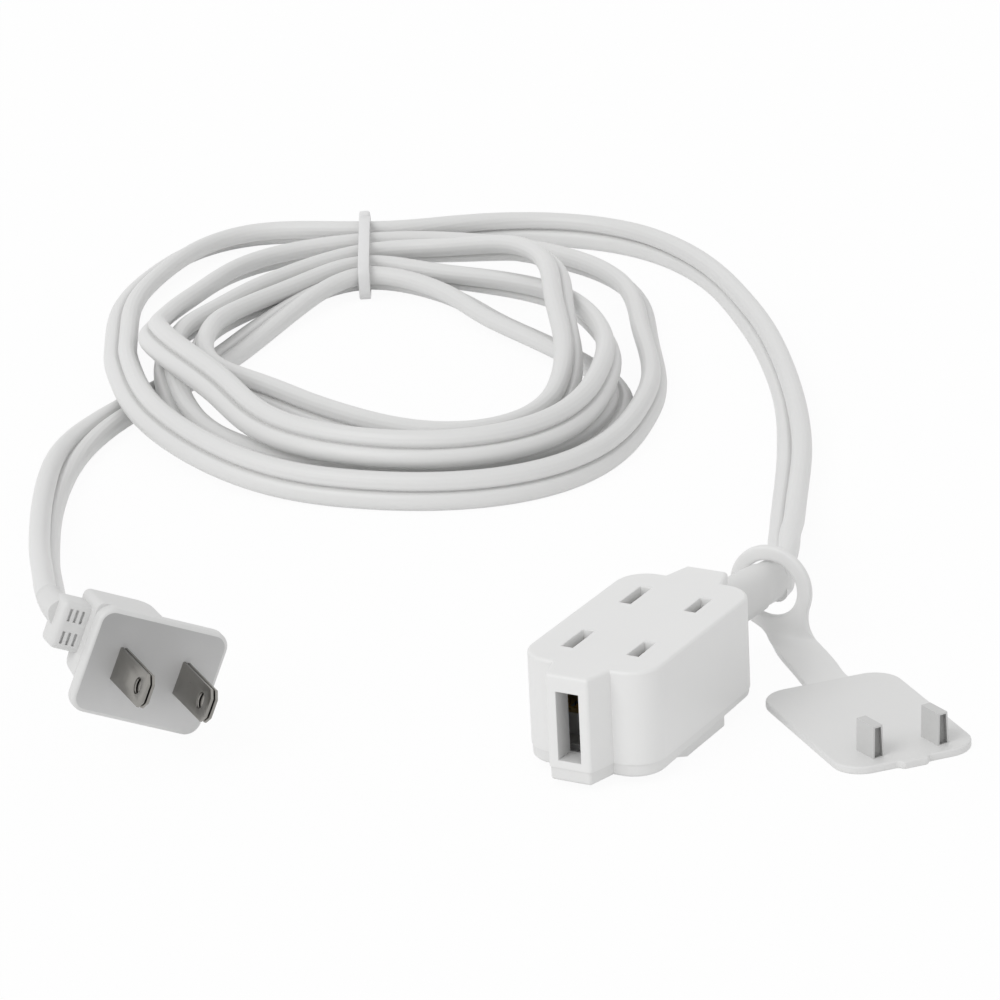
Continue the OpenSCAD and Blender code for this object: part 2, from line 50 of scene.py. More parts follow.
# The pieces are written in millimetres and scaled once, when they are finished
toMetres = 0.001
# Places this near each other, in millimetres, are at one level
hairline = 0.01
# Points nearer than this become one
mergeWithin = 0.002
# Edges whose faces turn by more than this, in radians, are corners
cornerTurn = 1.2
# Points round each section of a sleeve
loftSides = 40


def turned(degrees, axis, size=4):
    return Matrix.Rotation(math.radians(degrees), size, axis)


# ---- camera

cameraSet = {
    "place": (394.58, -730.76, 362.24),
    "turn": 30.0,       # degrees round the upright, from looking along +Y
    "pitch": 20.8305,   # degrees down
    "roll": -2.9361,
    "lens": 180.0,
    "sensor": 36.0,
    "clip": (0.05, 30),     # metres
}


def makeCamera(c):
    lens = bpy.data.cameras.new("camera")
    lens.lens, lens.sensor_width = c["lens"], c["sensor"]
    lens.clip_start, lens.clip_end = c["clip"]
    camera = bpy.data.objects.new("camera", lens)
    camera.matrix_world = (
        Matrix.Translation(Vector(c["place"]) * toMetres)
        @ turned(c["turn"], "Z") @ turned(90 - c["pitch"], "X") @ turned(c["roll"], "Z"))
    scene.collection.objects.link(camera)
    scene.camera = camera


makeCamera(cameraSet)
print("camera placed")

# ---- materials

# Noise, as waves a metre, detail and roughness
noises = {
    "clouds": (45.0, 3.0, 0.5),
    "grain": (900.0, 2.0, 0.5),
    "streaks": (300.0, 4.0, 0.6),
    "patches": (160.0, 3.0, 0.5),
    "cordClouds": (30.0, 3.0, 0.5),
    "cordGrain": (700.0, 2.0, 0.5),
}
# How deep bumps go, in metres
bumpDepths = {"grain": 0.00006, "streaks": 0.00004, "ridges": 0.0001}
# The cord's ridges: how many would go all round it, and the part of the way round they take up
ridgeSet = {"count": 26, "from": 0.03, "to": 0.5, "height": 0.4, "grain": 0.25, "strength": 0.3}


class Link:
    # One output of a node, so that shader maths reads as plain sums
    def __init__(self, finish, socket):
        self.finish, self.socket = finish, socket

    def maths(self, operation, other=0.0):
        return self.finish.node("ShaderNodeMath", {"operation": operation}, {0: self, 1: other})

    def __add__(self, other):
        return self.maths("ADD", other)

    def __mul__(self, other):
        return self.maths("MULTIPLY", other)

    __radd__ = __add__
    __rmul__ = __mul__


class Finish:
    # A material, its principled shader and the one way to add a node to it
    def __init__(self, name, colour, roughness, **plain):
        self.material = bpy.data.materials.new(name)
        self.material.use_nodes = True
        self.tree = self.material.node_tree
        self.shader = self.tree.nodes["Principled BSDF"]
        self.set("Base Color", (*colour, 1))
        self.set("Roughness", roughness)
        for socket, value in plain.items():
            self.set(socket.replace("_", " "), value)

    def set(self, socket, value):
        self.feed(self.shader.inputs[socket], value)

    def feed(self, socket, value):
        if isinstance(value, Link):
            self.tree.links.new(value.socket, socket)
        else:
            socket.default_value = value

    def node(self, kind, settings=None, inputs=None, output=0):
        made = self.tree.nodes.new(kind)
        for key, value in (settings or {}).items():
            setattr(made, key, value)
        for key, value in (inputs or {}).items():
            self.feed(made.inputs[key], value)
        return Link(self, made.outputs[output])

    def place(self, stretch=(1, 1, 1)):
        where = self.node("ShaderNodeTexCoord", output="Object")
        return self.node("ShaderNodeMapping", {}, {"Vector": where, "Scale": stretch})

    def cloud(self, kind, stretch=(1, 1, 1)):
        scale, detail, roughness = noises[kind]
        return self.node("ShaderNodeTexNoise", {}, {
            "Vector": self.place(stretch), "Scale": scale, "Detail": detail,
            "Roughness": roughness})

    def coordinate(self, where, axis):
        return self.node("ShaderNodeSeparateXYZ", {}, {0: where}, axis)

    def blend(self, mask, first, second):
        return self.node("ShaderNodeMix", {"data_type": "RGBA"}, {
            0: mask, 6: (*first, 1), 7: (*second, 1)}, 2)

    def varyGloss(self, mask, middle, spread):
        self.set("Roughness", mask * spread + (middle - spread / 2))

    def bump(self, height, strength, kind):
        self.set("Normal", self.node("ShaderNodeBump", {}, {
            "Height": height, "Strength": strength, "Distance": bumpDepths[kind]}))


def darkened(colour, share):
    return tuple(c * (1 - share) for c in colour)


def plastic(name, colour, roughness, grain=0.25, variation=0.05, **plain):
    # Moulded plastic: faint clouds in its colour and gloss, and a fine mould grain
    made = Finish(name, colour, roughness, **plain)
    clouds = made.cloud("clouds")
    made.set("Base Color", made.blend(clouds, darkened(colour, variation), colour))
    made.varyGloss(clouds, roughness, 0.14)
    made.bump(made.cloud("grain"), grain, "grain")
    return made.material


def paintedShadePlastic(name, low, high, top, roughness):
    # Moulded plastic with painted shade: it darkens from the floor up to a height in metres
    made = Finish(name, low, roughness)
    height = made.coordinate(made.place(), 2)
    made.set("Base Color", made.blend(height * (1 / top), low, high))
    made.bump(made.cloud("grain"), 0.3, "grain")
    return made.material


def metal(name, colour, roughness, lines):
    # Stamped or drawn metal: fine lines along the piece and a patchy gloss
    made = Finish(name, colour, roughness, Metallic=1.0)
    streaks, patches = made.cloud("streaks", lines), made.cloud("patches")
    made.set("Base Color", made.blend(patches, darkened(colour, 0.18), colour))
    made.set("Roughness", streaks * 0.18 + patches * 0.1 + (roughness - 0.12))
    made.bump(streaks, 0.35, "streaks")
    return made.material


def cordPlastic(name, colour, darker, roughness):
    # The cord's map runs round it in X, 0.5 for each lobe, and along it in metres in Y
    made = Finish(name, colour, roughness, Specular_IOR_Level=0.5)
    around = made.coordinate(made.node("ShaderNodeUVMap", {"uv_map": "aroundAlong"}), 0)
    # Ridges mark one conductor, over the outside of its lobe
    wave = (around * (math.tau * ridgeSet["count"])).maths("SINE")
    ridges = (wave * around.maths("LESS_THAN", ridgeSet["to"])
              * around.maths("GREATER_THAN", ridgeSet["from"]))
    clouds = made.cloud("cordClouds")
    made.set("Base Color", made.blend(clouds, darker, colour))
    made.varyGloss(clouds, roughness, 0.12)
    height = ridges * ridgeSet["height"] + made.cloud("cordGrain") * ridgeSet["grain"]
    made.bump(height, ridgeSet["strength"], "ridges")
    return made.material


finishes = {
    "block": plastic("block_plastic", (0.84, 0.84, 0.835), 0.42, Specular_IOR_Level=0.45),
    "base": plastic("base_plastic", (0.80, 0.80, 0.795), 0.45, Specular_IOR_Level=0.45),
    # The hollow inside the casing: a darker copy of the block's plastic, painted shade
    "inside": plastic("casing_inside_painted_shade", (0.55, 0.55, 0.545), 0.6),
    # The port's walls: a darker copy of the block's plastic, painted shade
    "tunnelPaintedShade": plastic("port_inside_painted_shade", (0.74, 0.74, 0.735), 0.6),
    # The slots' walls: a lighter copy of the block's plastic, painted light
    "slot": plastic("slot_walls_painted_light", (0.93, 0.93, 0.925), 0.6, variation=0.02),
    "relief": plastic("relief_plastic", (0.76, 0.76, 0.755), 0.48),
    "cord": cordPlastic("cord_plastic", (0.77, 0.77, 0.765), (0.73, 0.73, 0.724), 0.42),
    "tie": plastic("tie_plastic", (0.80, 0.80, 0.80), 0.35, Specular_IOR_Level=0.5),
    "cover": plastic("cover_plastic", (0.77, 0.77, 0.765), 0.5, grain=0.35),
    # The strap: a lighter copy of the cover's plastic, painted light on its upright ring and arm
    "strap": plastic("strap_plastic_painted_light", (0.82, 0.82, 0.815), 0.5, grain=0.35),
    # The prongs: a darker copy of the cover's plastic, painted shade on their sides
    "prong": plastic("prong_plastic_painted_shade", (0.62, 0.62, 0.615), 0.5),
    # The prongs' hollows: dark plastic, painted shade
    "recessPaintedShade": plastic("prong_inside_painted_shade", (0.34, 0.34, 0.335), 0.6),
    "plug": plastic("plug_plastic", (0.74, 0.74, 0.735), 0.45),
    # The plug's face: painted shade, darker than the plug's plastic and darker towards its top
    "plugFacePaintedShade": paintedShadePlastic("plug_face_painted_shade", (0.72, 0.72, 0.72), (0.43, 0.43, 0.43),
                            0.026, 0.45),
    # Dark grey, partly the carriers' own colour and partly painted shade deep inside the block
    # and plug
    "insulator": plastic("insulator_colour_and_painted_shade", (0.42, 0.42, 0.415), 0.55),
    "nickel": metal("nickel_blade", (0.33, 0.32, 0.30), 0.3, (6, 6, 1)),
    "brass": metal("contact_brass", (0.78, 0.60, 0.28), 0.32, (1, 8, 8)),
    "copper": metal("core_copper", (0.82, 0.45, 0.30), 0.35, (8, 1, 8)),
}

innerFinishes = {
    "insulator": ["contact_carrier", "plug_bridge"],
    "brass": ["contact_wide", "contact_narrow", "crimp_wide", "crimp_narrow"],
    "copper": ["outlet_core_neutral", "outlet_core_line", "plug_core_neutral", "plug_core_line"],
}
for finishName, members in innerFinishes.items():
    for member in members:
        nodes[member].data.materials.clear()
        nodes[member].data.materials.append(finishes[finishName])
print("materials made")

# ---- shared ways to shape a piece


def makePiece(bm, name, body, materials, replaced=(), place=None, sharpest=38):
    if place is not None:
        bm.transform(place)
    bmesh.ops.remove_doubles(bm, verts=bm.verts, dist=mergeWithin)
    bmesh.ops.recalc_face_normals(bm, faces=bm.faces)
    bmesh.ops.scale(bm, vec=(toMetres,) * 3, verts=bm.verts)
    mesh = bpy.data.meshes.new(name)
    bm.to_mesh(mesh)
    bm.free()
    mesh.shade_smooth()
    mesh.set_sharp_from_angle(angle=math.radians(sharpest))
    for material in materials:
        mesh.materials.append(finishes[material])
    piece = bpy.data.objects.new(name, mesh)
    scene.collection.objects.link(piece)
    if body:
        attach(piece, body)
    if replaced:
        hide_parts(*replaced)
    return piece


def evenShading(piece):
    # Flat faces keep flat shading beside their small rounded edges
    weighted = piece.modifiers.new("evenShading", "WEIGHTED_NORMAL")
    weighted.keep_sharp = True
    return piece


def once(items):
    # Each item once, in the order found, so that every run builds the same mesh
    return list(dict.fromkeys(items))


def vertsOf(faces):
    return once(v for f in faces for v in f.verts)


def regionOf(faces):
    return once(x for f in faces for x in [f, *f.edges, *f.verts])


def facesIn(geometry):
    return [x for x in geometry if isinstance(x, bmesh.types.BMFace)]


def paintAround(faces, index):
    # Gives faces and all that touch them one material
    for v in vertsOf(faces):
        for f in v.link_faces:
            f.material_index = index


def edgesAt(bm, height):
    return [e for e in bm.edges if all(abs(v.co.z - height) < hairline for v in e.verts)]


def cornerEdges(bm, turn=cornerTurn):
    return [e for e in bm.edges if len(e.link_faces) == 2 and e.calc_face_angle() > turn]


def flatFace(bm, corners, height=0.0):
    return bm.faces.new([bm.verts.new((x, y, height)) for x, y in corners])


def roundCorners(bm, corners, radius, segments=8):
    bmesh.ops.bevel(bm, geom=corners, offset=radius, offset_type="OFFSET", segments=segments,
                    profile=0.5, affect="VERTICES", material=-1)


def softenEdges(bm, edges, radius, segments=3):
    bmesh.ops.bevel(bm, geom=edges, offset=radius, offset_type="OFFSET", segments=segments,
                    profile=0.5, affect="EDGES", material=-1, clamp_overlap=True)


def raiseFaces(bm, faces, move):
    made = bmesh.ops.extrude_face_region(bm, geom=regionOf(faces))["geom"]
    verts = [v for v in made if isinstance(v, bmesh.types.BMVert)]
    bmesh.ops.translate(bm, vec=move, verts=verts)
    return facesIn(made)


def closeUp(bm):
    gaps = [e for e in bm.edges if len(e.link_faces) == 1]
    if gaps:
        bmesh.ops.holes_fill(bm, edges=gaps, sides=0)


def settle(bm):
    # Closes what is open and turns every face outwards
    closeUp(bm)
    bmesh.ops.recalc_face_normals(bm, faces=bm.faces)
    bm.normal_update()


def facesFacing(bm, direction, level, axis=2):
    direction = Vector(direction)
    bm.normal_update()
    return [f for f in bm.faces if f.normal.dot(direction) > 0.999
            and abs(f.calc_center_median()[axis] - level) < hairline]


def cutFaces(bm, faces, cuts):
    # Splits flat faces along planes given as (axis, place)
    for axis, place in cuts:
        point, across = Vector((0, 0, 0)), Vector((0, 0, 0))
        point[axis], across[axis] = place, 1
        made = bmesh.ops.bisect_plane(bm, geom=regionOf(faces), dist=0.0001, plane_co=point,
                                      plane_no=across)
        faces = facesIn(made["geom"])
    return faces


def openFaces(bm, faces, box):
    # Takes away the faces inside a box of (axis, low, high) and gives the hole's edges
    gone = [f for f in faces if f.is_valid
            and all(low < f.calc_center_median()[axis] < high for axis, low, high in box)]
    rim = once(e for f in gone for e in f.edges if any(g not in gone for g in e.link_faces))
    bmesh.ops.delete(bm, geom=gone, context="FACES")
    return [e for e in rim if e.is_valid]


def circleLoop(bm, segments):
    return bmesh.ops.create_circle(bm, segments=segments, radius=1.0)["verts"]


def loopEdges(verts):
    found = set(verts)
    return once(e for v in verts for e in v.link_edges if set(e.verts) <= found)


def loft(bm, sections):
    # Bridges closed sections, each (middle, wide axis, tall axis, width, height, squareness)
    loops = []
    for middle, wide, tall, width, height, square in sections:
        verts = circleLoop(bm, loftSides)
        wide, tall, middle = Vector(wide).normalized(), Vector(tall).normalized(), Vector(middle)
        for v in verts:
            a = math.atan2(v.co.y, v.co.x)
            x = math.copysign(abs(math.cos(a)) ** (2 / square), math.cos(a)) * width / 2
            y = math.copysign(abs(math.sin(a)) ** (2 / square), math.sin(a)) * height / 2
            v.co = middle + wide * x + tall * y
        loops.append(loopEdges(verts))
    for first, second in zip(loops, loops[1:]):
        bmesh.ops.bridge_loops(bm, edges=first + second)
    closeUp(bm)


# ---- cord

cordSet = {
    "width": 8.0,
    "thick": 4.0,
    "grooveWeb": 1.3,      # what is left between the grooves' bottoms
    # From the groove to the round of a lobe, as (along the long axis, across it)
    "shoulder": [(0.24, 1.05), (0.42, 1.6), (0.78, 1.86), (1.4, 1.98)],
    "roundPoints": 11,
    "step": 2.0,           # between the finished cord's rings
    "coilStep": 5.0,       # degrees between the rows that the coil is drawn from
    "evening": 22,         # rounds of smoothing over the whole cord
    "plugEvening": 90,     # further rounds over the run to the plug
    "plugRows": 105,       # rows in that run
    "endRows": 3,          # rows that stay as they are at either end
    "coilCentre": (-138, 135),
    "tieBearing": 120,
    # The loops, in the order in which the cord runs through them: degrees from the tie, and
    # there the distance from the centre, the lift off the floor and the lean in degrees
    "stations": [0, 15, 32, 55, 85, 125, 170, 210, 250, 290, 325, 348],
    "reach": [
        [105, 116, 95, 66, 51.5, 51.5, 61, 74, 64.5, 66, 91, 99.5],
        [96.5, 95, 73, 55, 44, 35.5, 53, 66, 55.5, 54, 66, 76],
        [81.5, 69, 55, 42, 34.5, 24.5, 33, 56.5, 47, 46, 67, 88],
        [89, 78, 64, 50, 42, 42.5, 51, 64, 58, 47, 50, 68]],
    "lastReach": 74,
    "tieLift": 1.2,
    "lift": [
        [1.2, 0, 0, 0, 5, 4.5, 0, 0, 0, 0, 0, 0],
        [1.2, 0, 2, 6, 12, 8.5, 7, 6.5, 7, 5.5, 2, 0],
        [1.2, 0, 2, 5, 4.5, 4, 4, 4, 6, 11.5, 11, 2],
        [1.2, 0, 0, 3.5, 5, 0, 0, 0, 0, 0, 0, 0]],
    "lean": [
        [50, 55, 65, 65, 55, 40, 15, 10, 15, 30, 45, 50],
        [50, 50, 50, 45, 40, 40, 35, 25, 20, 20, 40, 50],
        [50, 45, 40, 30, 30, 20, 20, 20, 30, 40, 50, 50],
        [50, 45, 40, 35, 40, 45, 55, 55, 55, 60, 60, 50]],
    "startInside": 2.0,
    "pastCoil": 1.3,
    "entrySteps": (-6.0, 0.0, 1.5),    # along the plug's sleeve from where the cord meets it
    "reliefEnd": (3.6, 50, 12),
    # Both free runs, as rows of a place and a lean
    "outletRun": [
        [3.6, 50, 12, 0], [3, 54, 12, 0], [0.6, 60, 11.7, 10], [-4.2, 68, 10.4, 30],
        [-9.3, 78, 8, 45], [-14, 89, 5.6, 52], [-18.8, 99, 4, 55], [-23.6, 110, 3.2, 56],
        [-34.7, 135, 3.1, 58], [-49.8, 163, 3.7, 30], [-69.5, 192.5, 3.9, 22],
        [-85.5, 212, 4, 12], [-100, 227.5, 4, 2], [-113.5, 238, 4, 0], [-128, 245, 4, 8],
        [-143, 246.8, 3.9, 18], [-157, 244, 3.9, 12], [-170, 237.8, 3.9, -10],
        [-181, 231.6, 3.7, -35]],
    "plugRun": [
        [-179, 193.5, 3.8, -55], [-181, 185, 3.1, -65], [-181, 175, 2.5, -75],
        [-180, 159, 2.1, -90], [-178, 144, 2.1, -90], [-178, 130, 2.1, -90],
        [-180, 116, 2.1, -90], [-181, 103, 2.1, -90], [-180, 93, 2.3, -95],
        [-178, 83, 2.9, -110], [-175, 73, 3.5, -125], [-169, 63, 3.9, -140],
        [-163, 51, 4.3, -150], [-156, 39, 5.2, -152], [-146, 25, 7.2, -152],
        [-135, 8, 10.5, -152], [-121.5, -9.5, 15.5, -152], [-109, -27, 20.5, -150]],
    "entryLean": -150,
    "length": 2.13,
}

plugSet = {
    "place": (-79.7, -38.9, 14.4),
    "heading": -38.0,
    "roll": -24.5,
    "flange": (26.2, 20.2, 3.0),     # along the blades, high, thick
    "flangeMiddle": (0.2, -0.3),
    "flangeCorner": 3.0,
    "flangeEdge": 0.7,
    "bodyEnds": (-12.9, 1.0),
    # Its side: back and height, from the top of the flange round to its foot
    "bodySide": [(-2.5, 9.7), (-12.0, 9.7), (-8.7, -4.8), (-2.5, -5.6)],
    "bodyCorners": (1.4, 3.2),       # round the side, and upright at the back
    "bodyBack": -8.0,                # what lies behind this is the body's back
    "bodyTurn": 0.9,                 # corners of its slanting side turn by more, in radians
    "bladeSpacing": 12.7,
    "blade": (15.9, 6.35, 0.6),       # long, wide, thickness of one layer
    "bladeGap": 0.3,
    "bladeRoot": -2.0,               # inside the flange
    "bladeChamfer": 1.4,
    "bladeEdge": 0.14,
    "bladeHole": 3.0,
    "holeSides": 28,
    "holeFromTip": 4.0,
    "sleeveEnd": (-10.6, -16.1, 4.0),
}
plugFrame = (Matrix.Translation(plugSet["place"]) @ turned(plugSet["heading"], "Z")
             @ turned(plugSet["roll"], "X"))


def slopeAt(xs, ys, i, level):
    if level and i in (0, len(xs) - 1):
        return 0.0
    low, high = max(i - 1, 0), min(i + 1, len(xs) - 1)
    return (ys[high] - ys[low]) / (xs[high] - xs[low])


def smoothAt(xs, ys, i, x, level=True):
    # Smooth curve through a row of values, at x inside interval i
    h = xs[i + 1] - xs[i]
    u = (x - xs[i]) / h
    v = 1 - u
    return ((1 + 2 * u) * v * v * ys[i] + u * v * v * h * slopeAt(xs, ys, i, level)
            + u * u * (3 - 2 * u) * ys[i + 1] - u * u * v * h * slopeAt(xs, ys, i + 1, level))


def coilRows(c):
    turns = [s + 360 * k for k in range(len(c["reach"])) for s in c["stations"]]
    turns.append(360 * len(c["reach"]))
    reach = [x for row in c["reach"] for x in row] + [c["lastReach"]]
    lift = [x for row in c["lift"] for x in row] + [c["tieLift"]]
    lean = [x for row in c["lean"] for x in row] + [c["lean"][0][0]]
    rows = []
    for i in range(len(turns) - 1):
        pieces = max(1, round((turns[i + 1] - turns[i]) / c["coilStep"]))
        steps = range(pieces + (1 if i == len(turns) - 2 else 0))
        for k in steps:
            u = k / pieces
            t = turns[i] * (1 - u) + turns[i + 1] * u
            away = smoothAt(turns, reach, i, t)
            leant = lean[i] * (1 - u) + lean[i + 1] * u
            upright = abs(math.cos(math.radians(leant)))
            rest = (c["thick"] + (c["width"] - c["thick"]) * upright) / 2
            bearing = math.radians(c["tieBearing"] + t)
            rows.append([c["coilCentre"][0] + away * math.cos(bearing),
                         c["coilCentre"][1] + away * math.sin(bearing),
                         rest + max(0.0, smoothAt(turns, lift, i, t)), -leant])
    return rows


def beyond(near, far, distance):
    # A row a distance past `near`, straight on from `far`
    a, b = Vector(near[:3]), Vector(far[:3])
    return [*(a + (a - b).normalized() * distance), near[3]]


def wholeRoute(c):
    coil, run = coilRows(c), c["outletRun"]
    rows = [beyond(run[0], run[1], c["startInside"])] + run
    rows += [beyond(coil[0], coil[1], c["width"])] + coil
    rows += [beyond(coil[-1], coil[-2], c["pastCoil"])] + c["plugRun"]
    entry = Vector(plugSet["sleeveEnd"])
    for x in c["entrySteps"]:
        rows.append([*(plugFrame @ (entry + Vector((x, 0, 0)))), c["entryLean"]])
    # One smooth curve through them all, by the distance along it
    along = [0.0]
    for a, b in zip(rows, rows[1:]):
        along.append(along[-1] + (Vector(b[:3]) - Vector(a[:3])).length)
    columns = list(zip(*rows))
    count = round(along[-1] / c["step"])
    made, i = [], 0
    for k in range(count + 1):
        s = along[-1] * k / count
        while i < len(along) - 2 and s > along[i + 1]:
            i += 1
        made.append([smoothAt(along, column, i, s, False) for column in columns])
    # Small kinks are evened out
    last = len(made) - c["endRows"]
    for k in range(c["evening"] + c["plugEvening"]):
        first = c["endRows"] if k < c["evening"] else len(made) - c["plugRows"]
        inner = [[(a + 2 * b + d) / 4 for a, b, d in zip(*made[i - 1:i + 2])]
                 for i in range(first, last)]
        made = made[:first] + inner + made[last:]
    return made


def cordSection(c):
    # Points round the section, as (along the long axis, across it)
    radius = c["thick"] / 2
    middle = c["width"] / 2 - radius
    lobe = list(c["shoulder"])
    for k in range(c["roundPoints"]):
        a = math.pi * k / (c["roundPoints"] - 1)
        lobe.append((middle + radius * math.sin(a), radius * math.cos(a)))
    lobe += [(x, -y) for x, y in c["shoulder"][::-1]]
    lobe.append((0.0, -c["grooveWeb"] / 2))
    return lobe + [(-x, -y) for x, y in lobe]


def makeCord(c):
    rows = wholeRoute(c)
    points = [Vector(r[:3]) for r in rows]
    section = cordSection(c)
    bm = bmesh.new()
    uv = bm.loops.layers.uv.new("aroundAlong")
    rings, along = [], [0.0]
    for i, row in enumerate(rows):
        ahead, behind = points[min(i + 1, len(rows) - 1)], points[max(i - 1, 0)]
        heading = (ahead - behind).normalized()
        side = heading.cross(Vector((0, 0, 1))).normalized()
        up = side.cross(heading)
        lean = math.radians(row[3])
        tall = up * math.cos(lean) + side * math.sin(lean)
        wide = heading.cross(tall)
        rings.append([bm.verts.new(points[i] + tall * x + wide * y) for x, y in section])
        if i:
            along.append(along[-1] + (points[i] - points[i - 1]).length * toMetres)
    sides = len(section)
    # How far round the section each point is, 0 to 1
    around = [0.0]
    for k in range(sides):
        around.append(around[-1] + math.dist(section[k], section[(k + 1) % sides]))
    around = [x / around[-1] for x in around]
    for i in range(len(rings) - 1):
        for k in range(sides):
            n = (k + 1) % sides
            face = bm.faces.new([rings[i][k], rings[i][n], rings[i + 1][n], rings[i + 1][k]])
            corners = [(k, i), (k + 1, i), (k + 1, i + 1), (k, i + 1)]
            for loop, (across, ahead) in zip(face.loops, corners):
                loop[uv].uv = (around[across], along[ahead])
    bm.faces.new(rings[0])
    bm.faces.new(rings[-1][::-1])
    piece = makePiece(bm, "cord", "cord_set", ["cord"],
                      ["cord_outlet_run", "cord_coil", "cord_plug_run"])
    return piece, [[x * toMetres for x in p] for p in points[::2]]


cord, cordPath = makeCord(cordSet)
print("cord made")

# ---- tie

tieSet = {
    "inner": 67.5,
    "outer": 109.2,
    "top": 8.1,
    "low": 0.8,
    "thick": 0.8,
    "width": 2.6,
    "corner": 3.2,
    "edge": 0.25,
    "head": (3.2, 1.5, 2.6),
    "headBack": 3.4,      # from the outer side of the band to the head's middle
    "headUp": 0.5,
    "headEdge": 0.6,
}


def makeTie(t):
    bm = bmesh.new()
    inner, outer, low, top, thick = (t[k] for k in ("inner", "outer", "low", "top", "thick"))
    loops = []
    for x0, x1, z0, z1, radius in [
            (inner - thick, outer + thick, 0, top + thick, t["corner"]),
            (inner, outer, low, top, t["corner"] - thick)]:
        face = flatFace(bm, [(x0, z0), (x1, z0), (x1, z1), (x0, z1)])
        roundCorners(bm, list(face.verts), radius, 6)
        loops.append([e for e in bm.edges if e not in sum(loops, [])])
    bmesh.ops.delete(bm, geom=list(bm.faces), context="FACES_ONLY")
    bmesh.ops.bridge_loops(bm, edges=loops[0] + loops[1])
    raiseFaces(bm, list(bm.faces), (0, 0, t["width"]))
    closeUp(bm)
    bmesh.ops.translate(bm, vec=(0, 0, -t["width"] / 2), verts=bm.verts)
    bm.normal_update()
    softenEdges(bm, cornerEdges(bm), t["edge"], 2)
    head = bmesh.ops.create_cube(bm, size=1.0)["verts"]
    bmesh.ops.scale(bm, vec=t["head"], verts=head)
    bmesh.ops.translate(bm, vec=(outer - t["headBack"], top + t["headUp"], 0), verts=head)
    softenEdges(bm, loopEdges(head), t["headEdge"])
    place = (Matrix.Translation((*cordSet["coilCentre"], 0))
             @ turned(cordSet["tieBearing"], "Z") @ turned(90, "X"))
    return makePiece(bm, "tie_band", "cord_set", ["tie"], ["coil_tie"],
                     place=place)


tieBand = makeTie(tieSet)
print("tie made")

# ---- outlet block

blockSet = {
    "width": 26.4,
    "length": 44.0,
    "corner": 6.0,
    "noseReach": 5.6,
    "noseRoot": 11.6,
    "noseTip": 8.4,
    "noseEdge": 0.5,
    "bottom": 4.0,
    "top": 21.8,
    "edge": 1.1,
    "wall": 2.0,
    "ceiling": 19.8,
    "frontWall": -23.2,    # the front port's tunnel ends here
    "slotX": 6.35,
    "outletY": 11.1,
    "longSlot": 8.2,
    "shortSlot": 6.6,
    "slotWidth": 2.2,
    "slotEdge": 0.3,
    "port": (4.4, 5.5, 18.5),   # width, low and high edge
    "baseInset": 0.2,
    "baseBottom": 1.5,
    "baseEdge": 0.6,
    "footFront": -11.1,
    "footToe": -6.47,
    "footBack": 8.2,
    "footEdge": 0.3,
    "footTurn": 0.3,           # its edges' faces turn by more, in radians
    "baseRise": 1.1,
    "riseBand": (0.5, 2.5),    # heights between which the base's edge is lifted
    "sharpest": 32,
}


def blockOutline(bm, b, inset, height):
    w, l = b["width"] / 2 - inset, b["length"] / 2 - inset
    root, tip = b["noseRoot"] / 2 - inset, b["noseTip"] / 2 - inset
    end = b["length"] / 2 + b["noseReach"] - inset
    quarter = [(w, l), (root, l), (tip, end)]
    corners = quarter + [(-x, y) for x, y in quarter[::-1]]
    corners += [(-x, -y) for x, y in corners]
    face = flatFace(bm, corners, height)
    body = [v for v in face.verts
            if abs(abs(v.co.x) - w) < hairline and abs(abs(v.co.y) - l) < hairline]
    roundCorners(bm, body, b["corner"] - inset, 10)
    tips = [v for v in bm.verts if abs(abs(v.co.y) - end) < hairline]
    roundCorners(bm, tips, b["noseEdge"], 3)
    return next(f for f in bm.faces)


def slotBoxes(b, ys):
    boxes = []
    for y in ys:
        for x, long in [(-b["slotX"], b["longSlot"]), (b["slotX"], b["shortSlot"])]:
            boxes.append([(0, x - b["slotWidth"] / 2, x + b["slotWidth"] / 2),
                          (1, y - long / 2, y + long / 2)])
    return boxes


def openThrough(bm, first, second, boxes):
    # Openings through two flat walls, joined by their own side walls
    rims, walls = [], []
    sides = [side for box in boxes for side in box]
    cuts = sorted({(axis, place) for axis, *ends in sides for place in ends})
    first, second = cutFaces(bm, first, cuts), cutFaces(bm, second, cuts)
    for box in boxes:
        outer, inner = openFaces(bm, first, box), openFaces(bm, second, box)
        walls += bmesh.ops.bridge_loops(bm, edges=outer + inner)["faces"]
        rims += outer
    return rims, walls


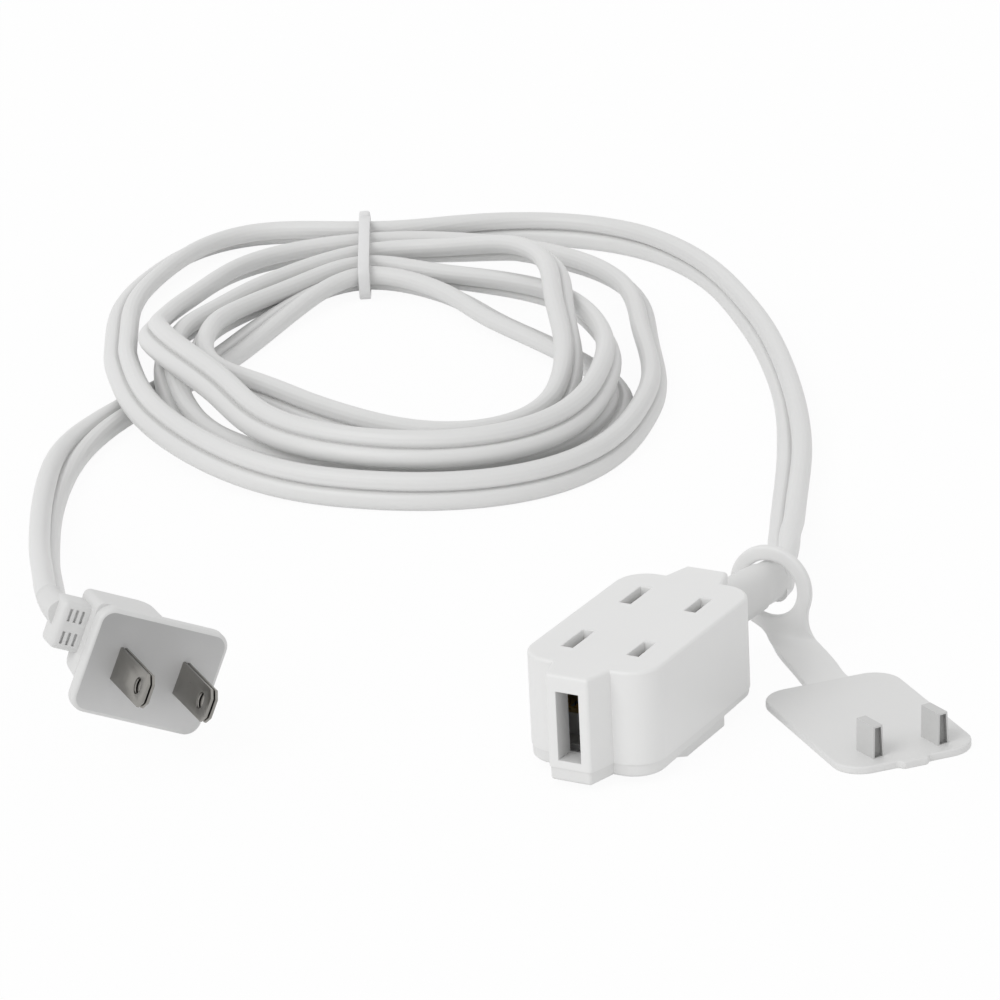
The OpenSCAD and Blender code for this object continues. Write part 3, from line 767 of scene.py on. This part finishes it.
def makeCasing(b):
    bm = bmesh.new()
    face = blockOutline(bm, b, 0, b["bottom"])
    raiseFaces(bm, [face], (0, 0, b["top"] - b["bottom"]))
    settle(bm)
    softenEdges(bm, edgesAt(bm, b["top"]), b["edge"], 4)
    # The hollow inside, up from the bottom face
    bottom = facesFacing(bm, (0, 0, -1), b["bottom"])
    bmesh.ops.inset_region(bm, faces=bottom, thickness=b["wall"], use_even_offset=True)
    for v in vertsOf(bottom):
        v.co.y = max(v.co.y, b["frontWall"])
    # The hollow's ceiling and walls take the darker plastic, painted shade
    paintAround(raiseFaces(bm, bottom, (0, 0, b["ceiling"] - b["bottom"])), 1)
    top = facesFacing(bm, (0, 0, 1), b["top"])
    ceiling = facesFacing(bm, (0, 0, -1), b["ceiling"])
    rims, slotWalls = openThrough(bm, top, ceiling, slotBoxes(b, [-b["outletY"], b["outletY"]]))
    wide, low, high = b["port"]
    front = facesFacing(bm, (0, -1, 0), -(b["length"] / 2 + b["noseReach"]), 1)
    back = [f for f in bm.faces if abs(f.calc_center_median().y - b["frontWall"]) < hairline
            and abs(f.normal.y) > 0.99]
    portBox = [(0, -wide / 2, wide / 2), (2, low, high)]
    portRim, portWalls = openThrough(bm, front, back, [portBox])
    # The port's walls take the darker plastic, painted shade, and the slots' walls the lighter
    # one, painted light
    for walls, index in ((portWalls, 2), (slotWalls, 3)):
        for f in walls:
            if f.is_valid:
                f.material_index = index
    rims += portRim
    softenEdges(bm, [e for e in rims if e.is_valid], b["slotEdge"], 2)
    return evenShading(makePiece(
        bm, "block_casing", "cord_set", ["block", "inside", "tunnelPaintedShade", "slot"],
        ["outlet_shell"], sharpest=b["sharpest"]))


def makeBase(b):
    bm = bmesh.new()
    face = blockOutline(bm, b, b["baseInset"], b["bottom"])
    raiseFaces(bm, [face], (0, 0, b["baseBottom"] - b["bottom"]))
    settle(bm)
    softenEdges(bm, edgesAt(bm, b["baseBottom"]), b["baseEdge"])
    # The foot is drawn down from the bottom and slants at its front
    bottom = facesFacing(bm, (0, 0, -1), b["baseBottom"])
    bottom = cutFaces(bm, bottom, [(1, b["footFront"]), (1, b["footBack"])])
    foot = [f for f in bottom if b["footFront"] < f.calc_center_median().y < b["footBack"]]
    for v in vertsOf(raiseFaces(bm, foot, (0, 0, -b["baseBottom"]))):
        if v.co.y < b["footFront"] + hairline:
            v.co.y = b["footToe"]
    bm.normal_update()
    sole = facesFacing(bm, (0, 0, -1), 0)
    upper = facesFacing(bm, (0, 0, 1), b["bottom"])
    openThrough(bm, sole, upper, slotBoxes(b, [0]))
    ground = set(edgesAt(bm, 0))
    softenEdges(bm, [e for e in cornerEdges(bm, b["footTurn"]) if e in ground], b["footEdge"], 2)
    # The base's lower edge rises towards the cord
    low, high = b["riseBand"]
    for v in bm.verts:
        if low < v.co.z < high:
            v.co.z += b["baseRise"] * (v.co.y / b["length"] + 0.5)
    return evenShading(makePiece(
        bm, "block_base", "cord_set", ["base"], ["outlet_base"],
        sharpest=b["sharpest"]))


makeCasing(blockSet)
makeBase(blockSet)
print("block made")

reliefSet = {
    # Each with its middle, width and height
    "sections": [
        ((0, 26.5, 12), 6.6, 10.2), ((0, 28.6, 12), 6.6, 10.2),
        ((0.3, 31, 12.1), 6.3, 10.0), ((0.8, 35, 12.2), 6.1, 9.9),
        ((1.5, 39, 12.3), 6.0, 9.7), ((2.1, 42.2, 12.4), 5.9, 9.4),
        ((2.4, 43.6, 12.5), 5.8, 9.1), ((2.6, 44.3, 12.6), 5.3, 8.5),
        ((2.9, 46, 12.6), 5.2, 8.4), ((3.4, 49, 12.5), 5.1, 8.4),
        ((3.6, 50.4, 12.4), 4.9, 8.2), ((3.65, 50.8, 12.4), 4.3, 7.6)],
    "square": 2.4,
}


def makeRelief(r):
    bm = bmesh.new()
    sections, rows = [], r["sections"]
    for i, (middle, wide, tall) in enumerate(rows):
        ahead = Vector(rows[min(i + 1, len(rows) - 1)][0]) - Vector(rows[max(i - 1, 0)][0])
        across = ahead.cross(Vector((0, 0, 1)))
        sections.append((middle, across, (0, 0, 1), wide, tall, r["square"]))
    loft(bm, sections)
    return makePiece(bm, "strain_relief", "cord_set", ["relief"],
                     ["outlet_strain_relief"], sharpest=50)


makeRelief(reliefSet)
print("strain relief made")

# ---- plug


def makePlug(p):
    long, high, thick = p["flange"]
    bm = bmesh.new()
    # The body behind the flange leans forward towards its foot
    near, far = p["bodyEnds"]
    side = [bm.verts.new((x, near, z)) for x, z in p["bodySide"]]
    raiseFaces(bm, [bm.faces.new(side)], (0, far - near, 0))
    settle(bm)
    around, upright = p["bodyCorners"]
    back = [e for e in bm.edges
            if all(v.co.y > far - hairline and v.co.x < p["bodyBack"] for v in e.verts)]
    softenEdges(bm, back, upright, 6)
    bm.normal_update()
    behind = p["bodySide"][0][0] - hairline
    softenEdges(bm, [e for e in cornerEdges(bm, p["bodyTurn"])
                     if min(v.co.x for v in e.verts) < behind], around, 4)
    # The flange is drawn upright and turned so that its face looks along +X
    known = set(bm.verts)
    face = flatFace(bm, [(-long / 2, -high / 2), (long / 2, -high / 2),
                         (long / 2, high / 2), (-long / 2, high / 2)])
    roundCorners(bm, list(face.verts), p["flangeCorner"])
    face = next(f for f in bm.faces if not known & set(f.verts))
    raiseFaces(bm, [face], (0, 0, thick))
    flange = [v for v in bm.verts if v not in known]
    bmesh.ops.transform(bm, verts=flange, matrix=Matrix(
        ((0, 0, 1, -thick), (1, 0, 0, p["flangeMiddle"][0]), (0, 1, 0, p["flangeMiddle"][1]),
         (0, 0, 0, 1))))
    bmesh.ops.recalc_face_normals(bm, faces=bm.faces)
    bm.normal_update()
    softenEdges(bm, [e for e in cornerEdges(bm) if not known & set(e.verts)], p["flangeEdge"], 4)
    # The flange's face takes the plastic with painted shade
    for f in facesFacing(bm, (1, 0, 0), 0, 0):
        f.material_index = 1
    return evenShading(makePiece(
        bm, "plug_moulding", "cord_set", ["plug", "plugFacePaintedShade"], ["plug_body"],
        place=plugFrame, sharpest=40))


sleeveSet = {
    "block": ((-10.4, -4.6), (-18.3, -12.0), (-1.3, 8.0)),
    "edge": 1.1,
    "pocketRows": (1.15, 5.5),       # heights of their middles
    "pocketPlaces": (-16.6, -15.4, -14.2),
    "pocket": (0.55, 2.4, 0.7),      # wide, high, deep
    # Each with its middle, heading, long axis, thickness and height
    "collar": [
        ((-7.4, -15.4, 3.4), (-1, 0, 0), (0, -0.75, 0.66), 5.4, 9.4),
        ((-9.5, -15.7, 3.8), (-1, 0, 0), (0, -0.8, 0.6), 5.4, 9.4),
        ((-11.5, -16.0, 4.1), (-1, 0, 0), (0, -0.814, 0.581), 5.2, 9.2),
        ((-13.6, -16.0, 4.5), (-1, 0, 0.1), (0, -0.814, 0.581), 5.0, 9.0),
        ((-14.0, -16.0, 4.55), (-1, 0, 0.1), (0, -0.814, 0.581), 4.4, 8.4)],
    "square": 2.8,
}


def makeSleeve(s):
    bm = bmesh.new()
    for v in bmesh.ops.create_cube(bm, size=2.0)["verts"]:
        v.co = Vector([ends[0] if x < 0 else ends[1] for x, ends in zip(v.co, s["block"])])
    softenEdges(bm, list(bm.edges), s["edge"], 4)
    # Rows of short pockets are sunk into both sides, as on a sleeve made to bend
    wide, high, deep = s["pocket"]
    cuts = [(1, y + k * wide / 2) for y in s["pocketPlaces"] for k in (-1, 1)]
    cuts += [(2, z + k * high / 2) for z in s["pocketRows"] for k in (-1, 1)]
    for level, way in zip(s["block"][0], (-1, 1)):
        cutFaces(bm, facesFacing(bm, (way, 0, 0), level, 0), cuts)
        for y in s["pocketPlaces"]:
            for z in s["pocketRows"]:
                middle = Vector((level, y, z))
                raiseFaces(bm, [f for f in bm.faces
                                if (f.calc_center_median() - middle).length < hairline],
                           (-way * deep, 0, 0))
    sections = [(middle, Vector(heading).cross(Vector(tall)), tall, wide, high, s["square"])
                for middle, heading, tall, wide, high in s["collar"]]
    loft(bm, sections)
    return makePiece(bm, "plug_sleeve", "cord_set", ["plug"],
                     place=plugFrame, sharpest=40)


def makeBlade(p, name, y, node):
    long, wide, layer = p["blade"]
    bm = bmesh.new()
    chamfer, half, root = p["bladeChamfer"], wide / 2, p["bladeRoot"]
    tip = long - chamfer
    for side in (-1, 1):
        outline = [bm.verts.new((x, 0, z)) for x, z in [
            (root, -half), (tip, -half), (long, chamfer - half), (long, half - chamfer),
            (tip, half), (root, half)]]
        edges = [bm.edges.new((a, b)) for a, b in zip(outline, outline[1:] + outline[:1])]
        hole = circleLoop(bm, p["holeSides"])
        for v in hole:
            v.co = Vector((long - p["holeFromTip"] + v.co.x * p["bladeHole"] / 2, 0,
                           v.co.y * p["bladeHole"] / 2))
        edges += loopEdges(hole)
        faces = facesIn(bmesh.ops.triangle_fill(bm, edges=edges, use_beauty=True)["geom"])
        middle = y + side * (layer + p["bladeGap"]) / 2
        bmesh.ops.translate(bm, vec=(0, middle - layer / 2, 0), verts=vertsOf(faces))
        raiseFaces(bm, faces, (0, layer, 0))
    settle(bm)
    softenEdges(bm, cornerEdges(bm), p["bladeEdge"], 2)
    return makePiece(bm, name, "cord_set", ["nickel"], [node],
                     place=plugFrame, sharpest=35)


plugMoulding = makePlug(plugSet)
plugSleeve = makeSleeve(sleeveSet)
bladeOne = makeBlade(plugSet, "blade_near_cord", -plugSet["bladeSpacing"] / 2, "blade_neutral")
bladeTwo = makeBlade(plugSet, "blade_far", plugSet["bladeSpacing"] / 2, "blade_line")
print("plug made")

# ---- safety cover

coverSet = {
    "ring": (3.7, 46.0, 11.7),
    "bore": 5.6,
    "outer": 8.5,
    "ringThick": 1.8,
    "ringSides": 24,
    "ringEdge": 0.35,
    "armFrom": (-112.0, -37.0),   # bearings on the ring between which the arm starts
    "plate": (36.2, 18.3),
    "plateTurn": -40.0,
    "plateSize": (39.0, 26.7, 1.5),
    "plateCorner": 5.5,
    "plateEdge": 0.35,
    "tab": (6.0, 1.0),
    "tabTaper": 0.8,
    "tabCorner": 0.5,
    "prongs": 12.7,
    "prong": (-2.6, 2.6, 2.4, 6.1),   # near and far end, width, height
    "prongMiddle": (14.1, 0.35),
    "prongTurn": 10.0,
    "prongHollow": 0.7,
    "prongWall": 0.34,
    "prongTaper": 0.8,
    "prongSunk": 0.2,     # into the plate
    # Rows of the arm from the ring to the plate, each with its middle, width axis, thickness
    # axis, width and thickness
    "arm": [
        ((6.3, 45.7, 3.3), (1, 0.1, 0.25), (0.05, 1, -0.1), 9.6, 1.7),
        ((7.2, 45.0, 2.3), (0.96, 0.25, 0.15), (0.15, 0.85, -0.55), 9.9, 1.6),
        ((8.6, 43.9, 1.45), (0.86, 0.5, 0.05), (0.1, 0.4, -0.9), 10.1, 1.5),
        ((10.6, 42.1, 0.95), (0.74, 0.67, 0), (0, 0.12, -1), 10.2, 1.5),
        ((13.6, 39.3, 0.76), (0.643, 0.766, 0), (0, 0, -1), 10.2, 1.5),
        ((16.6, 36.2, 0.75), (0.643, 0.766, 0), (0, 0, -1), 10.1, 1.5),
        ((18.8, 33.7, 0.75), (0.643, 0.766, 0), (0, 0, -1), 9.9, 1.48),
        ((20.4, 32.0, 0.75), (0.643, 0.766, 0), (0, 0, -1), 9.8, 1.46),
        ((21.2, 31.2, 0.75), (0.643, 0.766, 0), (0, 0, -1), 10.2, 1.44),
        ((22.9, 29.8, 0.75), (0.643, 0.766, 0), (0, 0, -1), 10.2, 1.4)],
    "bendFrom": (20.0, 31.9, 0.75),
    "bendTo": (22.3, 29.97, 0.75),
}


def keyOf(vert):
    return tuple(round(x, 4) for x in vert.co)


def makeStrap(c):
    bm = bmesh.new()
    outer, inner = circleLoop(bm, c["ringSides"]), circleLoop(bm, c["ringSides"])
    bmesh.ops.scale(bm, vec=(c["outer"],) * 3, verts=outer)
    bmesh.ops.scale(bm, vec=(c["bore"],) * 3, verts=inner)
    bmesh.ops.bridge_loops(bm, edges=loopEdges(outer) + loopEdges(inner))
    raiseFaces(bm, list(bm.faces), (0, 0, c["ringThick"]))
    bmesh.ops.translate(bm, vec=(0, 0, -c["ringThick"] / 2), verts=bm.verts)
    bm.transform(turned(90, "X"))
    settle(bm)
    softenEdges(bm, cornerEdges(bm), c["ringEdge"], 1)
    # The outer faces where the arm leaves the ring
    low, high = c["armFrom"]
    bm.normal_update()
    faces = []
    for f in bm.faces:
        m = f.calc_center_median()
        bearing = math.degrees(math.atan2(m.z, m.x))
        if math.hypot(m.x, m.z) > c["outer"] - c["ringEdge"] and low < bearing < high:
            faces.append(f)
    # Each of their points is told by its place, and keeps its share of the width and thickness
    middle, reach = math.radians((low + high) / 2), math.radians(high - low) / 2
    marks = {}
    for v in vertsOf(faces):
        across = (math.atan2(v.co.z, v.co.x) - middle) / reach
        marks[keyOf(v)] = (across, v.co.y / (c["ringThick"] / 2))
    edge = max(abs(a) for a, _ in marks.values())
    marks = {key: (a / edge, t) for key, (a, t) in marks.items()}
    ringPlace = Vector(c["ring"])
    for place, wide, thick, width, height in c["arm"]:
        faces = raiseFaces(bm, faces, (0, 0, 0))
        wide, thick = Vector(wide).normalized(), Vector(thick).normalized()
        fresh = {}
        for v in vertsOf(faces):
            across, t = marks[keyOf(v)]
            v.co = Vector(place) - ringPlace + wide * across * width / 2 + thick * t * height / 2
            fresh[keyOf(v)] = (across, t)
        marks = fresh
    return makePiece(bm, "strap_ring_arm", None, ["strap"], ["cover_strap"],
                     place=Matrix.Translation(ringPlace), sharpest=180)


strap = makeStrap(coverSet)
rounding = strap.modifiers.new("rounding", "SUBSURF")
rounding.levels = rounding.render_levels = 2
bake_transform(strap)


def makeCap(c):
    long, wide, thick = c["plateSize"]
    tabWide, tabOut = c["tab"]
    x, y, t = long / 2, wide / 2, tabWide / 2
    narrow = t * c["tabTaper"]
    bm = bmesh.new()
    face = flatFace(bm, [(-x, -y), (x, -y), (x, -t), (x + tabOut, -narrow), (x + tabOut, narrow),
                         (x, t), (x, y), (-x, y)])
    outerCorners = [v for v in face.verts if abs(abs(v.co.y) - y) < hairline]
    tabCorners = [v for v in face.verts if abs(v.co.y) < t + hairline]
    roundCorners(bm, outerCorners, c["plateCorner"])
    roundCorners(bm, [v for v in tabCorners if v.is_valid], c["tabCorner"], 3)
    raiseFaces(bm, [next(f for f in bm.faces)], (0, 0, thick))
    settle(bm)
    softenEdges(bm, cornerEdges(bm), c["plateEdge"])
    # Two prongs, hollow from their far ends
    near, far, width, height = c["prong"]
    forward, aside = c["prongMiddle"]
    for side in (-1, 1):
        known = set(bm.verts)
        box = bmesh.ops.create_cube(bm, size=2.0)["verts"]
        for v in box:
            taper, z = (c["prongTaper"], height) if v.co.z > 0 else (1, -c["prongSunk"])
            v.co = Vector((near if v.co.x < 0 else far, v.co.y * width / 2 * taper, thick + z))
        prong = once(f for v in box for f in v.link_faces)
        # The prongs take the darker plastic, painted shade
        for f in prong:
            f.material_index = 2
        bm.normal_update()
        end = max(prong, key=lambda f: f.normal.x)
        bmesh.ops.inset_region(bm, faces=[end], thickness=c["prongWall"], use_even_offset=True)
        # The hollow and all that touches it take the dark plastic, painted shade
        paintAround(raiseFaces(bm, [end], (-c["prongHollow"], 0, 0)), 1)
        every = [v for v in bm.verts if v not in known]
        turn = turned(c["prongTurn"], "Z", 3)
        bmesh.ops.rotate(bm, cent=(0, 0, 0), matrix=turn, verts=every)
        bmesh.ops.translate(bm, vec=(forward, side * c["prongs"] / 2 + aside, 0), verts=every)
    place = Matrix.Translation((*c["plate"], 0)) @ turned(c["plateTurn"], "Z")
    return evenShading(makePiece(
        bm, "cap_plate", "cap", ["cover", "recessPaintedShade", "prong"], ["cover_cap"],
        place=place, sharpest=40))


makeCap(coverSet)
print("cover made")

# ---- floor and light

stageSet = {
    "floorSize": 14.0,
    "floorColour": (0.95, 0.95, 0.95),
    "floorRoughness": 0.9,
    "whiteShare": 0.94,    # how much of the floor's look is plain white
    "sky": 0.72,
    "sun": 0.8,
    "sunTurn": (46.0, 0.0, -20.0),
    "sunSoftness": 35.0,
}


def seenDirectly(finish):
    # 1 for camera, glossy and transmission rays
    camera, glossy, through = [
        finish.node("ShaderNodeLightPath", output="Is " + kind + " Ray")
        for kind in ("Camera", "Glossy", "Transmission")]
    return (camera + glossy + through).maths("MINIMUM", 1.0)


def makeStage(s):
    bm = bmesh.new()
    bmesh.ops.create_grid(bm, x_segments=1, y_segments=1, size=s["floorSize"] / 2)
    mesh = bpy.data.meshes.new("floor")
    bm.to_mesh(mesh)
    bm.free()
    floor = bpy.data.objects.new("floor", mesh)
    scene.collection.objects.link(floor)
    finish = Finish("floor_paper", s["floorColour"], s["floorRoughness"])
    white = finish.node("ShaderNodeEmission", {}, {"Color": (1, 1, 1, 1), "Strength": 1.0})
    shown = seenDirectly(finish) * s["whiteShare"]
    mixed = finish.node("ShaderNodeMixShader", {}, {
        0: shown, 1: Link(finish, finish.shader.outputs[0]), 2: white})
    finish.feed(finish.tree.nodes["Material Output"].inputs["Surface"], mixed)
    mesh.materials.append(finish.material)

    world = bpy.data.worlds.new("room")
    scene.world = world
    world.use_nodes = True
    finish.tree = world.node_tree
    background = world.node_tree.nodes["Background"]
    finish.feed(background.inputs["Color"], (1, 1, 1, 1))
    finish.feed(background.inputs["Strength"], seenDirectly(finish) * (1 - s["sky"]) + s["sky"])

    lamp = bpy.data.lights.new("key", "SUN")
    lamp.energy, lamp.angle = s["sun"], math.radians(s["sunSoftness"])
    key = bpy.data.objects.new("key", lamp)
    key.rotation_euler = [math.radians(x) for x in s["sunTurn"]]
    scene.collection.objects.link(key)


makeStage(stageSet)
print("stage made")
